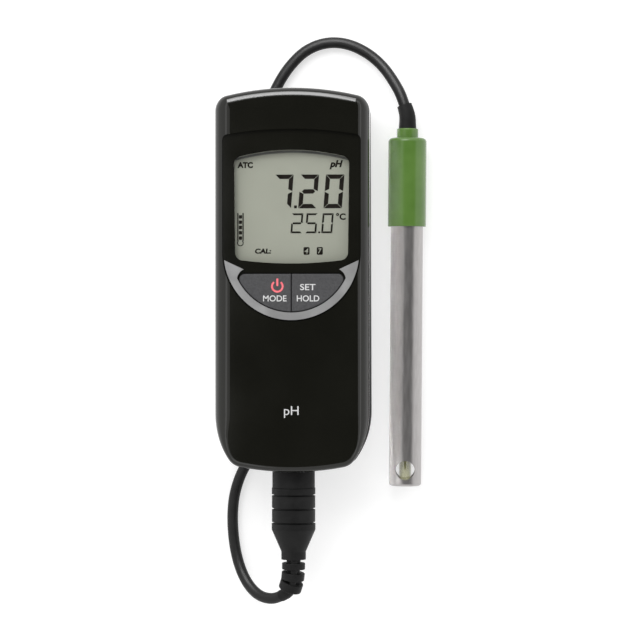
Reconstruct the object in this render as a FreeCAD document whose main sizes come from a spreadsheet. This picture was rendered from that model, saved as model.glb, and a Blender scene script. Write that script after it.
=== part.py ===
"""A hand-held pH meter lying on its back, with its electrode on a flexible lead.

Millimetres.  X runs across the case towards the electrode, Y along the case towards the display end
and Z up out of the display.  The origin is on the table, under the middle of the case and electrode.
"""
import FreeCAD, Part
import Sketcher
import math
import os

Vector = FreeCAD.Vector

# Driving dimensions: name, value in millimetres, meaning.
DIMENSIONS = [
    ("meter_x", -11.1, "case centre from the origin, across"),
    ("meter_y", 3.55, "case centre from the origin, along"),
    ("back_level", 5.2, "back of the case above the table, on the folded lead"),
    ("case_length", 154.0, "case, end to end"),
    ("case_half_top", 31.05, "half width of the case at the display end"),
    ("case_half_bottom", 31.5, "half width of the case at the socket end"),
    ("front_step", 0.5, "front shell narrower than the back shell at the socket end, each side"),
    ("case_height", 30.0, "back to face"),
    ("rear_height", 14.0, "back to the parting line"),
    ("top_arc", 114.0, "radius of the display end"),
    ("bottom_arc", 110.0, "radius of the socket end"),
    ("top_corner", 6.2, "corner radius at the display end"),
    ("bottom_corner", 7.0, "tight corner radius at the socket end"),
    ("bottom_flank", 33.0, "wide radius between side and tight corner, socket end"),
    ("flank_y", -53.4, "where the sides start to turn in, along"),
    ("side_round", 6.4, "rounding between face and sides"),
    ("top_round", 3.5, "rounding between face and display end"),
    ("bottom_round", 2.2, "rounding between face and socket end"),
    ("ceiling_round", 3.0, "rounding inside, between face and sides"),
    ("rim_bevel", 0.25, "bevel of the back shell's rim"),
    ("back_round", 3.0, "rounding between back and sides"),
    ("wall", 2.2, "case wall"),
    ("roof", 3.2, "thickness of the face"),
    ("floor_wall", 2.4, "thickness of the back"),
    ("recess_depth", 1.5, "display recess below the face"),
    ("recess_half", 27.76, "half width of the display recess"),
    ("recess_top", 60.3, "top of the recess at its middle"),
    ("recess_arc", 157.0, "radius of the recess's top edge"),
    ("recess_corner", 2.4, "corner radius at the recess's top"),
    ("keypad_centre", 10.97, "centre of the keypad's arcs"),
    ("window_half_top", 23.1, "half width of the display opening, top"),
    ("window_half_bottom", 22.6, "half width of the display opening, bottom"),
    ("window_top", 52.1, "top of the display opening at its middle"),
    ("window_bottom", 6.5, "bottom of the display opening at its middle"),
    ("window_top_arc", 85.0, "radius of the opening's top edge"),
    ("window_bottom_arc", 155.0, "radius of the opening's bottom edge"),
    ("window_corner", 3.2, "corner radius of the opening"),
    ("trim_outer", 27.1, "outer radius of the bright trim"),
    ("trim_inner", 24.1, "inner radius of the bright trim"),
    ("trim_height", 1.25, "bright trim above the recess"),
    ("key_gap", 0.3, "gap round the keys"),
    ("key_top_edge", 2.35, "straight edge of the keys"),
    ("key_corner", 2.2, "outer corner radius of the keys"),
    ("key_proud", 1.0, "keys above the recess"),
    ("key_travel", 0.8, "stroke of a key"),
    ("boss_round", 3.5, "screw boss radius"),
    ("top_boss_x", 24.6, "display-end screws, across"),
    ("top_boss_y", 65.5, "display-end screws, along"),
    ("low_boss_x", 19.0, "socket-end screws, across"),
    ("low_boss_y", 57.0, "socket-end screws, along"),
    ("post_x", 22.0, "circuit board screws, across"),
    ("post_top_y", 58.5, "circuit board screws at the display end"),
    ("post_low_y", 42.0, "circuit board screws at the socket end"),
    ("board_level", 7.0, "top of the circuit board above the parting line"),
    ("board_thick", 1.6, "circuit board"),
    ("glass_thick", 2.4, "display cell"),
    ("pane_thick", 1.3, "display window pane"),
    ("cell_dia", 10.5, "battery cell diameter"),
    ("cell_length", 43.7, "battery cell without its cap"),
    ("cell_pitch", 11.2, "battery cells, centre to centre"),
    ("socket_hole", 7.6, "radius of the socket's hole in the case"),
    ("plug_shell_outer", 6.6, "plug's metal shell, outer radius"),
    ("pin_circle", 3.5, "radius of the circle of contacts"),
    ("pin_radius", 0.72, "plug pin radius"),
    ("plug_reach", 9.0, "how far the plug goes into the socket"),
    ("lead_dia", 4.5, "lead diameter"),
    ("cap_radius", 7.84, "electrode cap radius"),
    ("cap_length", 36.3, "electrode cap, main cylinder"),
    ("neck_radius", 4.4, "electrode cap neck radius"),
    ("neck_length", 3.9, "electrode cap neck"),
    ("tube_radius", 6.62, "electrode tube radius"),
    ("tube_seat", 6.2, "electrode tube radius inside the cap"),
    ("tube_bore", 5.7, "electrode tube bore radius"),
    ("tube_length", 106.3, "electrode tube below the cap"),
    ("port_radius", 3.87, "cross hole in the electrode tube"),
    ("port_from_tip", 6.6, "cross hole from the tip"),
    ("stem_radius", 2.55, "glass stem radius"),
    ("probe_x", 34.79, "electrode axis at the cap's lower edge, across"),
    ("probe_y", 25.75, "cap's lower edge from the origin, along"),
    ("probe_tilt", 0.6576, "electrode's tilt, degrees, with its cap and tip on the table"),
    ("probe_skew", 0.42, "electrode's turn from the case, degrees"),
    ("fold_pitch", 4.6, "folded lead, turn to turn"),
    ("fold_bend", 9.5, "tightest bend of the folded lead"),
    ("fold_half", 56.0, "half length of the folded lead"),
    ("fold_round", 28.4, "corner radius of the folded lead's outer turns"),
    ("strap_half", 2.5, "half width of a strap"),
    ("strap_thick", 0.5, "strap"),
]

document = FreeCAD.newDocument("ph_meter")
sheet = document.addObject("Spreadsheet::Sheet", "dims")


class Size:
    """A number together with the sheet expression it comes from."""

    def __init__(self, value, text):
        self.value = float(value)
        self.text = text

    def __add__(self, other):
        return Size(self.value + number(other), "(%s + %s)" % (self.text, words(other)))

    def __radd__(self, other):
        return Size(number(other) + self.value, "(%s + %s)" % (words(other), self.text))

    def __sub__(self, other):
        return Size(self.value - number(other), "(%s - %s)" % (self.text, words(other)))

    def __rsub__(self, other):
        return Size(number(other) - self.value, "(%s - %s)" % (words(other), self.text))

    def __mul__(self, other):
        return Size(self.value * number(other), "(%s * %s)" % (self.text, words(other)))

    def __rmul__(self, other):
        return self * other

    def __truediv__(self, other):
        return Size(self.value / number(other), "(%s / %s)" % (self.text, words(other)))

    def __neg__(self):
        return Size(-self.value, "(0 - %s)" % self.text)


def number(value):
    return value.value if isinstance(value, Size) else float(value)


def words(value):
    return value.text if isinstance(value, Size) else "%.6f" % value


def root(value):
    """Square root that keeps the expression."""
    return Size(math.sqrt(number(value)), "sqrt(%s)" % words(value))


SIZES = {}
for row, (alias, value, meaning) in enumerate(DIMENSIONS, start=1):
    sheet.set("A%d" % row, meaning)
    sheet.set("B%d" % row, str(value))
    sheet.setAlias("B%d" % row, alias)
    SIZES[alias] = Size(value, "dims.%s" % alias)
document.recompute()


def size(alias):
    return SIZES[alias]


NODES = []


def keep(thing, label):
    """Register an object as a sub-part under its own label."""
    thing.Label = label
    NODES.append(thing)
    return thing


def bind(thing, **sizes):
    """Tie properties to sheet expressions."""
    for name, value in sizes.items():
        thing.setExpression(name, words(value))


def place(thing, x, y, z, rotation=None):
    """Set a Placement whose base follows the sheet."""
    thing.Placement = FreeCAD.Placement(Vector(0, 0, 0), rotation or FreeCAD.Rotation())
    for axis, value in zip("xyz", (x, y, z)):
        thing.setExpression("Placement.Base.%s" % axis, words(value))
    return thing


# ---------------------------------------------------------------- sketches and features


def new_part_body(label):
    """A body that is part of another sub-part and isn't written by itself."""
    return document.addObject("PartDesign::Body", label)


def new_body(label):
    return keep(new_part_body(label), label)


def new_sketch(body, role="XY_Plane", level=0):
    """An empty sketch on one of the body's own origin planes, lifted along its normal."""
    sketch = body.newObject("Sketcher::SketchObject", "sketch")
    plane = [f for f in body.Origin.OriginFeatures if f.Role == role][0]
    sketch.AttachmentSupport = [(plane, "")]
    sketch.MapMode = "FlatFace"
    sketch.setExpression("AttachmentOffset.Base.z", words(level))
    return sketch


def pin(sketch, element, end, x, y):
    """Fix a point of the sketch by its two coordinates."""
    for kind, axis, value in (("DistanceX", -2, x), ("DistanceY", -1, y)):
        if not isinstance(value, Size) and abs(value) < 1e-9:
            sketch.addConstraint(Sketcher.Constraint("PointOnObject", element, end, axis))
        else:
            index = sketch.addConstraint(Sketcher.Constraint(kind, -1, 1, element, end, number(value)))
            sketch.setExpression("Constraints[%d]" % index, words(value))


def arc_between(start, end, radius, left):
    """The short arc from start to end; left is True where it bulges to the left of the way there."""
    chord = end - start
    middle = (start + end) * 0.5
    lift = math.sqrt(max(radius**2 - chord.Length**2 / 4, 0.0))
    side = Vector(-chord.y, chord.x, 0).normalize()
    centre = middle - side * lift if left else middle + side * lift
    first = math.atan2(start.y - centre.y, start.x - centre.x)
    last = math.atan2(end.y - centre.y, end.x - centre.x)
    if left:
        first, last = last, first
    return Part.ArcOfCircle(Part.Circle(centre, Vector(0, 0, 1), radius), first, last)


def outline(sketch, corners):
    """Close a loop through corners (x, y) or (x, y, radius); the edge after a corner with a radius is
    an arc, and a negative radius bulges to the left of the way round."""
    points = [Vector(number(c[0]), number(c[1]), 0) for c in corners]
    ends = []
    for i, corner in enumerate(corners):
        start, end = points[i], points[(i + 1) % len(points)]
        if len(corner) == 2:
            element = sketch.addGeometry(Part.LineSegment(start, end))
            ends.append((element, 1, 2))
            continue
        radius = abs(number(corner[2]))
        left = number(corner[2]) < 0
        element = sketch.addGeometry(arc_between(start, end, radius, left))
        ends.append((element, 2, 1) if left else (element, 1, 2))
    for i, (element, first, last) in enumerate(ends):
        after, after_first, _ = ends[(i + 1) % len(ends)]
        sketch.addConstraint(Sketcher.Constraint("Coincident", element, last, after, after_first))
        pin(sketch, element, first, corners[i][0], corners[i][1])
        if len(corners[i]) == 3:
            radius = corners[i][2] if number(corners[i][2]) > 0 else 0 - corners[i][2]
            index = sketch.addConstraint(Sketcher.Constraint("Radius", element, number(radius)))
            sketch.setExpression("Constraints[%d]" % index, words(radius))
    return sketch


def circle(sketch, x, y, radius):
    centre = Vector(number(x), number(y), 0)
    element = sketch.addGeometry(Part.Circle(centre, Vector(0, 0, 1), number(radius)))
    pin(sketch, element, 3, x, y)
    index = sketch.addConstraint(Sketcher.Constraint("Radius", element, number(radius)))
    sketch.setExpression("Constraints[%d]" % index, words(radius))
    return sketch


def rectangle(sketch, left, low, right, high):
    return outline(sketch, [(left, low), (right, low), (right, high), (left, high)])


def pad(body, sketch, length, back=False):
    feature = body.newObject("PartDesign::Pad", "pad")
    feature.Profile = sketch
    feature.Reversed = back
    bind(feature, Length=length)
    document.recompute()
    return feature


def pocket(body, sketch, length, upwards=False):
    """Cut along the sketch's normal (upwards) or against it; cutting nothing is an error."""
    before = body.Shape.Volume
    feature = body.newObject("PartDesign::Pocket", "pocket")
    feature.Profile = sketch
    feature.Reversed = upwards
    bind(feature, Length=length)
    document.recompute()
    if body.Shape.Volume > before - 1e-6:
        raise RuntimeError("a pocket in %s cuts nothing" % body.Label)
    return feature


def soften(body, radius, chooser, kind="Fillet"):
    """Round or chamfer the chosen edges of the body's last feature."""
    base = body.Tip
    names = ["Edge%d" % (i + 1) for i, edge in enumerate(base.Shape.Edges) if chooser(edge)]
    feature = body.newObject("PartDesign::%s" % kind, kind.lower())
    feature.Base = (base, names)
    bind(feature, **{"Radius" if kind == "Fillet" else "Size": radius})
    document.recompute()
    return feature


def at_level(level):
    """Chooses edges that lie wholly at one height."""
    return lambda edge: all(abs(v.Z - number(level)) < 1e-4 for v in edge.Vertexes)


def upright(edge):
    first, last = edge.Vertexes[0].Point, edge.Vertexes[-1].Point
    return len(edge.Vertexes) == 2 and abs(first.x - last.x) < 1e-6 and abs(first.y - last.y) < 1e-6


def upright_near(spots):
    """Chooses upright edges that stand on one of the spots (x, y)."""

    def chooser(edge):
        point = edge.Vertexes[0].Point
        return upright(edge) and any(
            math.hypot(point.x - number(x), point.y - number(y)) < 0.05 for x, y in spots
        )

    return chooser


def turned(label, profile, base, rotation=None):
    """A body of revolution about its own Z, from (radius, height) corners."""
    body = new_body(label)
    sketch = new_sketch(body, "XZ_Plane")
    outline(sketch, profile)
    feature = body.newObject("PartDesign::Revolution", "turn")
    feature.Profile = sketch
    feature.ReferenceAxis = (sketch, ["V_Axis"])
    feature.Angle = 360
    document.recompute()
    place(body, *base, rotation)
    return body


def block(left, low, bottom, right, high, top):
    """A Part::Box between two corners of the case's own frame, lifted from the parting line."""
    box = document.addObject("Part::Box", "block")
    bind(box, Length=right - left, Width=high - low, Height=top - bottom)
    place(box, size("meter_x") + left, size("meter_y") + low, PARTING + bottom)
    return box


def rod(radius, length, x, y, z, rotation=None):
    """A Part::Cylinder from a point in the case's own frame, lifted from the parting line."""
    bar = document.addObject("Part::Cylinder", "rod")
    bind(bar, Radius=radius, Height=length)
    place(bar, size("meter_x") + x, size("meter_y") + y, PARTING + z, rotation)
    return bar


def group(label, members, kind="Part::Compound"):
    """Several separate solids, or one fused solid, as one sub-part."""
    whole = document.addObject(kind, label)
    if kind == "Part::Compound":
        whole.Links = members
    else:
        whole.Shapes = members
    return keep(whole, label)


def fused(members):
    whole = document.addObject("Part::MultiFuse", "fused")
    whole.Shapes = members
    return whole


def cut(base, tool, label=None):
    result = document.addObject("Part::Cut", "cut")
    result.Base = base
    result.Tool = tool
    return keep(result, label) if label else result


ALONG_Y = FreeCAD.Rotation(Vector(1, 0, 0), -90)  # turns a body's own +Z to +Y
AGAINST_Y = FreeCAD.Rotation(Vector(1, 0, 0), 90)  # turns a body's own +Z to -Y
PARTING = size("back_level") + size("rear_height")
FRONT_HEIGHT = size("case_height") - size("rear_height")
CEILING = FRONT_HEIGHT - size("roof")
RECESS_LEVEL = FRONT_HEIGHT - size("recess_depth")
HALF_LENGTH = size("case_length") / 2
SCREWS = [
    (side * size(boss + "_x"), end * size(boss + "_y"))
    for boss, end in (("top_boss", 1), ("low_boss", -1))
    for side in (1, -1)
]
POSTS = [
    (side * size("post_x"), y) for y in (size("post_top_y"), 0 - size("post_low_y")) for side in (1, -1)
]

# ---------------------------------------------------------------- case


def case_outline(sketch, inset, narrower=0):
    """The plan of the case: arched ends, rounded corners and sides that taper a little."""
    half = [size("case_half_bottom") - inset - narrower, size("case_half_top") - inset]
    big = [size("bottom_arc") - inset, size("top_arc") - inset]
    small = [size("bottom_corner") - inset, size("top_corner") - inset]
    middle = [size("bottom_arc") - HALF_LENGTH, HALF_LENGTH - size("top_arc")]
    flank = size("bottom_flank") - inset
    low_half, top_half = number(half[0]), number(half[1])
    flank_x, flank_y = low_half - number(flank), number(size("flank_y"))
    low_x, low_y = between(
        (flank_x, flank_y, number(flank - small[0])), (0, number(middle[0]), number(big[0] - small[0])))
    low_angle = math.atan2(number(middle[0]) - low_y, low_x)
    flank_angle = math.atan2(flank_y - low_y, low_x - flank_x)
    top_x = number(half[1] - small[1])
    rise = math.sqrt(number(big[1] - small[1]) ** 2 - top_x**2)
    top_y, top_angle = number(middle[1]) + rise, math.atan2(rise, top_x)

    def ring(x, y, radius, start, end):
        arc = Part.ArcOfCircle(Part.Circle(Vector(x, y, 0), Vector(0, 0, 1), number(radius)), start, end)
        return sketch.addGeometry(arc)

    bottom = ring(0, number(middle[0]), big[0], low_angle - math.pi, -low_angle)
    low_right = ring(low_x, low_y, small[0], -low_angle, -flank_angle)
    flank_right = ring(flank_x, flank_y, flank, -flank_angle, 0)
    right = sketch.addGeometry(Part.LineSegment(Vector(low_half, flank_y, 0), Vector(top_half, top_y, 0)))
    top_right = ring(top_x, top_y, small[1], 0, top_angle)
    top = ring(0, number(middle[1]), big[1], top_angle, math.pi - top_angle)
    top_left = ring(-top_x, top_y, small[1], math.pi - top_angle, math.pi)
    left = sketch.addGeometry(Part.LineSegment(Vector(-top_half, top_y, 0), Vector(-low_half, flank_y, 0)))
    flank_left = ring(-flank_x, flank_y, flank, math.pi, math.pi + flank_angle)
    low_left = ring(-low_x, low_y, small[0], math.pi + flank_angle, math.pi + low_angle)
    loop = [bottom, low_right, flank_right, right, top_right, top, top_left, left, flank_left, low_left]
    for i, element in enumerate(loop):
        sketch.addConstraint(Sketcher.Constraint("Tangent", element, 2, loop[(i + 1) % len(loop)], 1))
    for elements, radius in (
        ([bottom], big[0]), ([top], big[1]), ([low_right, low_left], small[0]), ([flank_right, flank_left], flank),
        ([top_right, top_left], small[1]),
    ):
        for element in elements:
            index = sketch.addConstraint(Sketcher.Constraint("Radius", element, number(radius)))
            sketch.setExpression("Constraints[%d]" % index, words(radius))
    for element, level in ((bottom, middle[0]), (top, middle[1])):
        pin(sketch, element, 3, 0, level)
    ends = [(right, 1, half[0]), (right, 2, half[1]), (left, 1, 0 - half[1]), (left, 2, 0 - half[0])]
    for element, end, across in ends:
        index = sketch.addConstraint(Sketcher.Constraint("DistanceX", -1, 1, element, end, number(across)))
        sketch.setExpression("Constraints[%d]" % index, words(across))
    for element in (flank_right, flank_left):
        index = sketch.addConstraint(Sketcher.Constraint("DistanceY", -1, 1, element, 3, flank_y))
        sketch.setExpression("Constraints[%d]" % index, words(size("flank_y")))
    return sketch


def between(first, second):
    """Where two circles (x, y, radius) cross, on the side towards +X and -Y."""
    across, up = second[0] - first[0], second[1] - first[1]
    apart = math.hypot(across, up)
    along = (first[2] ** 2 - second[2] ** 2 + apart**2) / (2 * apart)
    aside = math.sqrt(first[2] ** 2 - along**2)
    x, y = across / apart, up / apart
    return first[0] + along * x + aside * y, first[1] + along * y - aside * x


def keypad_points(side, grow):
    """Where a key's straight edge, corner and arc meet, each moved out by grow."""
    arc = size("trim_inner") - size("key_gap") + grow
    corner = size("key_corner") + grow
    edge = size("key_top_edge") + grow
    drop = size("keypad_centre") - edge + corner
    across = root((arc - corner) * (arc - corner) - drop * drop)
    turn = (side * across, edge)
    scale = arc / (arc - corner)
    meet = (side * across * scale, size("keypad_centre") - drop * scale)
    return arc, corner, turn, meet


def keypad_outline(sketch, grow):
    """Both keys and the gap between them, moved out by grow."""
    arc, corner, turn, meet = keypad_points(1, grow)
    _, _, left_turn, left_meet = keypad_points(-1, grow)
    lowest = size("keypad_centre") - arc
    return outline(
        sketch,
        [(*left_turn,), (*turn, 0 - corner), (*meet, 0 - arc), (0, lowest, 0 - arc), (*left_meet, 0 - corner)],
    )


def recess_outline(sketch):
    """The display recess: an arched top, straight sides and a round bottom."""
    half, corner, arc = size("recess_half"), size("recess_corner"), size("recess_arc")
    middle = size("recess_top") - arc
    inner = arc - corner
    rise = root(inner * inner - (half - corner) * (half - corner))
    side = middle + rise
    crest_x, crest_y = (half - corner) * arc / inner, middle + rise * arc / inner
    centre = size("keypad_centre")
    return outline(
        sketch,
        [(half, side, corner), (crest_x, crest_y, arc), (0 - crest_x, crest_y, corner), (0 - half, side),
         (0 - half, centre, half), (0, centre - half, half), (half, centre)],
    )


def window_corners():
    """Corners of the display opening before they are rounded."""
    high = size("window_top_arc")
    low = size("window_bottom_arc")
    wide, narrow = size("window_half_top"), size("window_half_bottom")
    top = size("window_top") - high + root(high * high - wide * wide)
    bottom = size("window_bottom") + low - root(low * low - narrow * narrow)
    return [(wide, top, high), (0 - wide, top), (0 - narrow, bottom, low), (narrow, bottom)]


def rounding_at(point):
    """The face's rounding at a point of its edge: wide along the sides and narrow round the ends."""
    halves = [number(size("case_half_top")), number(size("case_half_bottom") - size("front_step"))]
    if any(abs(abs(point.x) - half) < 0.05 for half in halves):
        return number(size("side_round"))
    return number(size("top_round" if point.y > 0 else "bottom_round"))


def front_blank():
    """The front shell's skin: an outside whose rounding changes along the corners, less its hollow."""
    body = new_part_body("front_blank")
    pad(body, case_outline(new_sketch(body), 0, size("front_step")), FRONT_HEIGHT)
    document.recompute()
    edges = []
    for i, edge in enumerate(body.Shape.Edges):
        if at_level(FRONT_HEIGHT)(edge):
            start, end = (edge.valueAt(where) for where in (edge.FirstParameter, edge.LastParameter))
            edges.append((i + 1, rounding_at(start), rounding_at(end)))
    rounded = document.addObject("Part::Fillet", "front_rounded")
    rounded.Base = body
    rounded.Edges = edges
    hollow = new_part_body("front_hollow")
    pad(hollow, case_outline(new_sketch(hollow), size("wall")), CEILING)
    soften(hollow, size("ceiling_round"), at_level(CEILING))
    shell = document.addObject("Part::Cut", "front_shell")
    shell.Base = rounded
    shell.Tool = hollow
    document.recompute()
    return shell


def front_case():
    body = new_body("front_case")
    body.BaseFeature = front_blank()
    document.recompute()
    bosses = new_sketch(body)
    for x, y in SCREWS:
        circle(bosses, x, y, size("boss_round"))
    pad(body, bosses, CEILING + 0.2)
    posts = new_sketch(body, level=size("board_level"))
    for x, y in POSTS:
        circle(posts, x, y, 2.0)
    pad(body, posts, CEILING - size("board_level") + 0.2)
    pilots = new_sketch(body)
    for x, y in SCREWS:
        circle(pilots, x, y, 1.2)
    pocket(body, pilots, 9.0, upwards=True)
    board_pilots = new_sketch(body, level=size("board_level"))
    for x, y in POSTS:
        circle(board_pilots, x, y, 0.9)
    pocket(body, board_pilots, 4.5, upwards=True)
    recess = recess_outline(new_sketch(body, level=FRONT_HEIGHT))
    pocket(body, recess, size("recess_depth"))
    pocket(body, outline(new_sketch(body, level=FRONT_HEIGHT), window_corners()), 5.0)
    soften(body, size("window_corner"), upright_near([c[:2] for c in window_corners()]))
    pocket(body, keypad_outline(new_sketch(body, level=FRONT_HEIGHT), size("key_gap")), 5.0)
    pocket(body, socket_hole(body), 90.0, upwards=True)
    place(body, size("meter_x"), size("meter_y"), PARTING)
    return body


def socket_hole(body):
    """A circle on the case's own XZ plane, on the socket's axis."""
    return circle(new_sketch(body, "XZ_Plane"), 0, 0, size("socket_hole"))


def rear_case():
    """The back shell, built from the parting line downwards."""
    body = new_body("rear_case")
    deep = size("rear_height") - size("floor_wall")
    pad(body, case_outline(new_sketch(body), 0), size("rear_height"), back=True)
    soften(body, size("back_round"), at_level(0 - size("rear_height")))
    soften(body, size("rim_bevel"), at_level(0), "Chamfer")
    pocket(body, case_outline(new_sketch(body), size("wall")), deep)
    bosses = new_sketch(body)
    for x, y in SCREWS:
        circle(bosses, x, y, size("boss_round"))
    pad(body, bosses, deep + 0.2, back=True)
    holes = new_sketch(body)
    for x, y in SCREWS:
        circle(holes, x, y, 1.7)
    pocket(body, holes, size("rear_height") + 1)
    sinks = new_sketch(body, level=0 - size("rear_height"))
    for x, y in SCREWS:
        circle(sinks, x, y, 3.1)
    pocket(body, sinks, 4.0, upwards=True)
    groove = new_sketch(body)
    case_outline(groove, 0.8)
    case_outline(groove, 1.6)
    pocket(body, groove, 1.0)
    pocket(body, socket_hole(body), 90.0, upwards=True)
    place(body, size("meter_x"), size("meter_y"), PARTING)
    return body


def case_gasket():
    """A cord of soft rubber in the groove of the back shell, open where the socket passes."""
    body = new_body("case_gasket")
    ring = new_sketch(body)
    case_outline(ring, 0.8)
    case_outline(ring, 1.6)
    pad(body, ring, 1.0, back=True)
    pocket(body, socket_hole(body), 90.0, upwards=True)
    place(body, size("meter_x"), size("meter_y"), PARTING)


def screw(head_radius, head_height, shank_radius, shank_length, x, y, z):
    """A pan-head screw pointing up, with a round drive recess in its head."""
    head = rod(head_radius, head_height, x, y, z)
    shank = rod(shank_radius, shank_length, x, y, z + head_height)
    drive = rod(head_radius * 0.42, head_height * 0.5, x, y, z)
    return cut(fused([head, shank]), drive)


def screws():
    head_level = 4.0 - 2.6 - size("rear_height")
    group("case_screws", [screw(2.9, 2.6, 1.15, 17.5, x, y, head_level) for x, y in SCREWS])
    under_board = size("board_level") - size("board_thick") - 1.4
    group("board_screws", [screw(1.8, 1.4, 0.86, 5.4, x, y, under_board) for x, y in POSTS])


# ---------------------------------------------------------------- display and keys


def frame_ring(label, outer, inner, bottom, height):
    """A flat ring between two rectangles (left, low, right, high)."""
    body = new_body(label)
    sketch = new_sketch(body)
    rectangle(sketch, *outer)
    if inner:
        rectangle(sketch, *inner)
    pad(body, sketch, height)
    place(body, size("meter_x"), size("meter_y"), PARTING + bottom)
    return body


def display():
    pane_level = CEILING - size("pane_thick")
    glass_level = pane_level - 0.1 - size("glass_thick")
    frame_ring("display_window", (-25.8, 4.6, 25.8, 54.6), None, pane_level, size("pane_thick"))
    frame_ring("display_cell", (-25.0, 4.8, 25.0, 54.0), None, glass_level, size("glass_thick"))
    holder_height = glass_level + size("glass_thick") - size("board_level")
    frame_ring(
        "display_holder", (-27.0, 3.8, 27.0, 55.6), (-25.1, 4.7, 25.1, 54.1), size("board_level"), holder_height
    )
    strips = [
        block(-22.0, low, size("board_level"), 22.0, low + 2.0, glass_level) for low in (6.0, 51.0)
    ]
    group("display_connectors", strips)


def board():
    """The circuit board with its screw holes, and the parts soldered to it."""
    body = new_body("circuit_board")
    sketch = new_sketch(body, level=size("board_level") - size("board_thick"))
    rectangle(sketch, -26.0, -46.0, 26.0, 61.0)
    for x, y in POSTS:
        circle(sketch, x, y, 1.3)
    pad(body, sketch, size("board_thick"))
    place(body, size("meter_x"), size("meter_y"), PARTING)
    under = size("board_level") - size("board_thick")
    chips = [(-6.0, 18.0, 6.0, 30.0, 1.6), (-18.0, 22.0, -12.0, 27.0, 1.4), (10.0, 20.0, 16.0, 25.0, 1.4),
             (-16.0, 36.0, -8.0, 41.0, 1.2), (-3.0, 36.0, 2.0, 40.0, 1.0), (8.0, 34.0, 17.0, 39.0, 2.2)]
    parts = [block(x0, y0, under - tall, x1, y1, under) for x0, y0, x1, y1, tall in chips]
    parts.append(block(-7.0, -45.0, under - 4.0, 7.0, -39.0, under))
    group("board_parts", parts)
    domes = []
    for side in (-1, 1):
        dome = document.addObject("Part::Cone", "dome")
        bind(dome, Radius1=4.2, Radius2=1.8, Height=0.6)
        place(dome, size("meter_x") + side * 8.5, size("meter_y") - 4.5, PARTING + size("board_level"))
        domes.append(dome)
    group("key_domes", domes)


def key(label, side):
    """One rubber key: the cap in the opening, a flange under the face and a stem over its dome."""
    body = new_body(label)
    flange_level = CEILING - 1.2
    stem_level = size("board_level") + 0.6 + size("key_travel") + 0.1

    def half(sketch, grow):
        arc, corner, turn, meet = keypad_points(side, grow)
        edge = side * 0.13
        lowest = size("keypad_centre") - root(arc * arc - edge * edge)
        top = size("key_top_edge") + grow
        bulge = 0 - side
        return outline(sketch, [(edge, top), (*turn, bulge * corner), (*meet, bulge * arc), (edge, lowest)])

    cap_height = RECESS_LEVEL + size("key_proud") - flange_level
    pad(body, half(new_sketch(body, level=flange_level), 0), cap_height)
    soften(body, 0.5, at_level(flange_level + cap_height))
    pad(body, half(new_sketch(body, level=flange_level), 1.0), 1.0)
    stem = circle(new_sketch(body, level=stem_level), side * 8.5, -4.5, 3.0)
    pad(body, stem, flange_level - stem_level + 0.2)
    place(body, size("meter_x"), size("meter_y"), PARTING)


def key_trim():
    """The bright crescent round the lower edge of the keys."""
    body = new_body("key_trim")
    centre = size("keypad_centre")
    outer, inner = size("trim_outer"), size("trim_inner")
    horn = 7.8
    horn_x = root(outer * outer - (centre - horn) * (centre - horn))
    heel = 0.6
    heel_x = root(inner * inner - (centre - heel) * (centre - heel))
    tip_x, tip_y, hug = 19.1, 4.15, 4.6
    corners = [
        (horn_x, horn), (tip_x, tip_y, 0 - hug), (heel_x, heel, 0 - inner), (0, centre - inner, 0 - inner),
        (0 - heel_x, heel, 0 - hug), (0 - tip_x, tip_y), (0 - horn_x, horn, outer), (0, centre - outer, outer),
    ]
    pad(body, outline(new_sketch(body, level=RECESS_LEVEL), corners), size("trim_height"))
    place(body, size("meter_x"), size("meter_y"), PARTING)


# ---------------------------------------------------------------- batteries


def batteries():
    """Three cells in a tray on the floor of the back shell, with a contact at each end of each."""
    floor = size("floor_wall") - size("rear_height")
    deck = 1.2
    axis = floor + deck + size("cell_dia") / 2
    low, length = -38.3, size("cell_length")
    high = low + length + 0.8
    tray = [
        block(-17.6, -42.0, floor, 17.6, 10.0, floor + deck),
        block(-17.6, -42.0, floor, 17.6, -40.8, floor + 10.0),
        block(-17.6, 8.8, floor, 17.6, 10.0, floor + 10.0),
    ]
    group("battery_tray", tray, "Part::MultiFuse")
    contacts = []
    for i, side in enumerate((-1, 0, 1)):
        x = side * size("cell_pitch")
        upside = i % 2 == 0
        start = low if upside else low + 0.8
        nipple = low + length if upside else low
        case = rod(size("cell_dia") / 2, length, x, start, axis, ALONG_Y)
        tip = rod(1.9, 0.8, x, nipple, axis, ALONG_Y)
        group("battery_%d" % (i + 1), [case, tip], "Part::MultiFuse")
        near = block(x - 4.0, -40.8, axis - 3.6, x + 4.0, -40.4, axis + 3.6)
        far = block(x - 4.0, 8.4, axis - 3.6, x + 4.0, 8.8, axis + 3.6)
        contacts.append(fused([near, rod(1.5, low + 40.5, x, -40.5, axis, ALONG_Y)]))
        contacts.append(fused([far, rod(1.5, 8.5 - high, x, high, axis, ALONG_Y)]))
    group("battery_contacts", contacts)


# ---------------------------------------------------------------- socket and plug

PIN_ANGLES = [math.radians(angle) for angle in (0, 45, 90, 135, 180)]
SOCKET_FACE = 0.6 - HALF_LENGTH
PLUG_FACE = -0.5 - HALF_LENGTH
PLUG_LENGTH = 35.8


def on_circle(angle):
    """A place on the circle of contacts, in the plane across the plug's axis."""
    radius = size("pin_circle")
    return radius * math.cos(angle), radius * math.sin(angle)


def meter_base(y, z=0):
    return size("meter_x"), size("meter_y") + y, PARTING + z


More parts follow.
